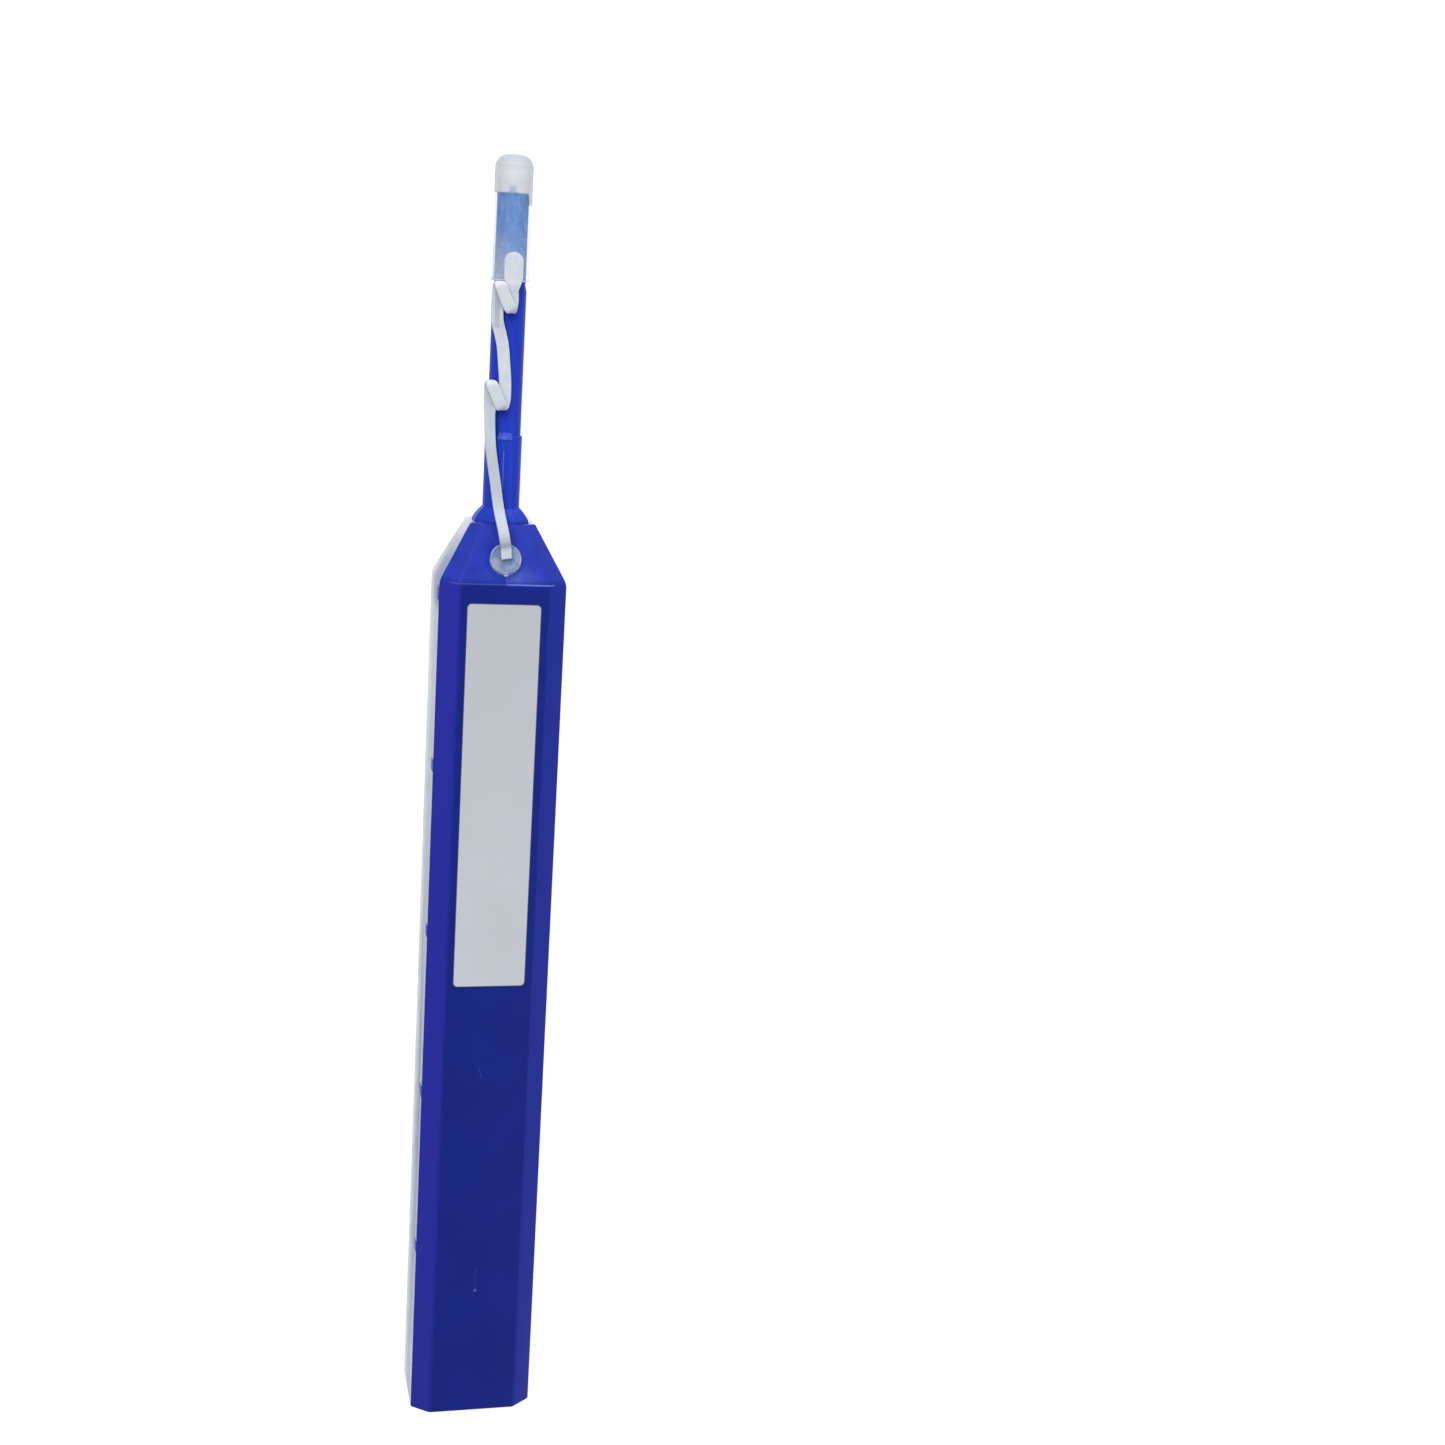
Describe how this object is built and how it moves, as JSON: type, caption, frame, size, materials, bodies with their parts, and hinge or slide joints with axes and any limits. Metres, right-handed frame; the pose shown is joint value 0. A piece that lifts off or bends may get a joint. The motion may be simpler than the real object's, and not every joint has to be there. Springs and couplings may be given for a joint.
{
  "type": "fibre connector cleaning pen",
  "caption": "Push-to-clean pen for fibre connectors: two-part casing, slim nozzle, tethered cap, thread reels and a cam that turns the tip.",
  "frame": {"origin": "centre of the bounding box at the rear face, which the pen lies on", "axes": "+Y along the nozzle towards the cap, +Z out of the label face, +X across the casing"},
  "size_m": [0.019, 0.196, 0.0168],
  "materials": {
    "blue_moulding": "moulded ABS, satin",
    "blue_nozzle": "moulded acetal, satin",
    "clear_moulding": "frosted translucent moulding",
    "label_film": "bare silver-grey film label",
    "natural_polyethylene": "natural polyethylene, milky",
    "white_acetal": "natural white acetal",
    "grey_acetal": "grey moulding",
    "steel": "plain steel wire and strip",
    "thread": "spun cleaning thread"
  },
  "bodies": {
    "casing": {"front_casing": "blue_moulding", "rear_casing": "clear_moulding", "label_sheet": "label_film", "tether_button": "natural_polyethylene", "cap_tether": "natural_polyethylene", "return_spring": "steel"},
    "carriage": {"carriage_frame": "white_acetal", "nozzle": "blue_nozzle", "thread_guide_pin": "steel", "ratchet_pawl": "steel", "thread_supply_run": "thread", "thread_return_run": "thread", "drag_washer": "steel"},
    "cap": {"protective_cap": "natural_polyethylene"},
    "cam": {"cam_barrel": "white_acetal", "spring_seat": "white_acetal", "tip_spring": "steel"},
    "spindle": {"tip_spindle": "grey_acetal", "cleaning_tip": "grey_acetal", "thread_tip_loop": "thread"},
    "feed_gear": {"drive_gear": "grey_acetal"},
    "takeup": {"takeup_reel": "white_acetal", "used_thread_winding": "thread"},
    "supply": {"supply_reel": "white_acetal", "fresh_thread_winding": "thread"}
  },
  "joints": [
    {"name": "push_stroke", "type": "slide", "parent": "casing", "child": "carriage", "axis": [0, -1, 0], "range_m": [0, 0.008], "stiffness_N_per_m": 350, "springref_m": -0.01, "deforming": ["return_spring", "cap_tether"]},
    {"name": "cap_pull", "type": "slide", "parent": "carriage", "child": "cap", "axis": [0, 1, 0], "range_m": [0, 0.017], "deforming": ["cap_tether"]},
    {"name": "tip_turn", "type": "hinge", "parent": "carriage", "child": "cam", "pos_m": [0, 0.0155, 0.0081], "axis": [0, 1, 0], "range_deg": [0, 180], "deforming": ["thread_supply_run", "thread_return_run"]},
    {"name": "tip_float", "type": "slide", "parent": "cam", "child": "spindle", "axis": [0, -1, 0], "range_m": [0, 0.0015], "stiffness_N_per_m": 200, "springref_m": -0.004, "deforming": ["tip_spring"]},
    {"name": "feed_gear_turn", "type": "hinge", "parent": "carriage", "child": "feed_gear", "pos_m": [0, -0.016, 0.0105], "axis": [0, 0, 1], "range_deg": [0, 114.6]},
    {"name": "takeup_turn", "type": "hinge", "parent": "carriage", "child": "takeup", "pos_m": [0, -0.016, 0.0061], "axis": [0, 0, 1], "range_deg": [0, 114.6], "deforming": ["ratchet_pawl"]},
    {"name": "supply_turn", "type": "hinge", "parent": "carriage", "child": "supply", "pos_m": [0, -0.0385, 0.0061], "axis": [0, 0, 1], "range_deg": [-70, 0]}
  ],
  "couplings": [
    {"joint": "tip_turn", "follows": "push_stroke", "rad_per_m": 392.7},
    {"joint": "feed_gear_turn", "follows": "push_stroke", "rad_per_m": 250},
    {"joint": "takeup_turn", "follows": "push_stroke", "rad_per_m": 250},
    {"joint": "supply_turn", "follows": "push_stroke", "rad_per_m": -152.54}
  ]
}
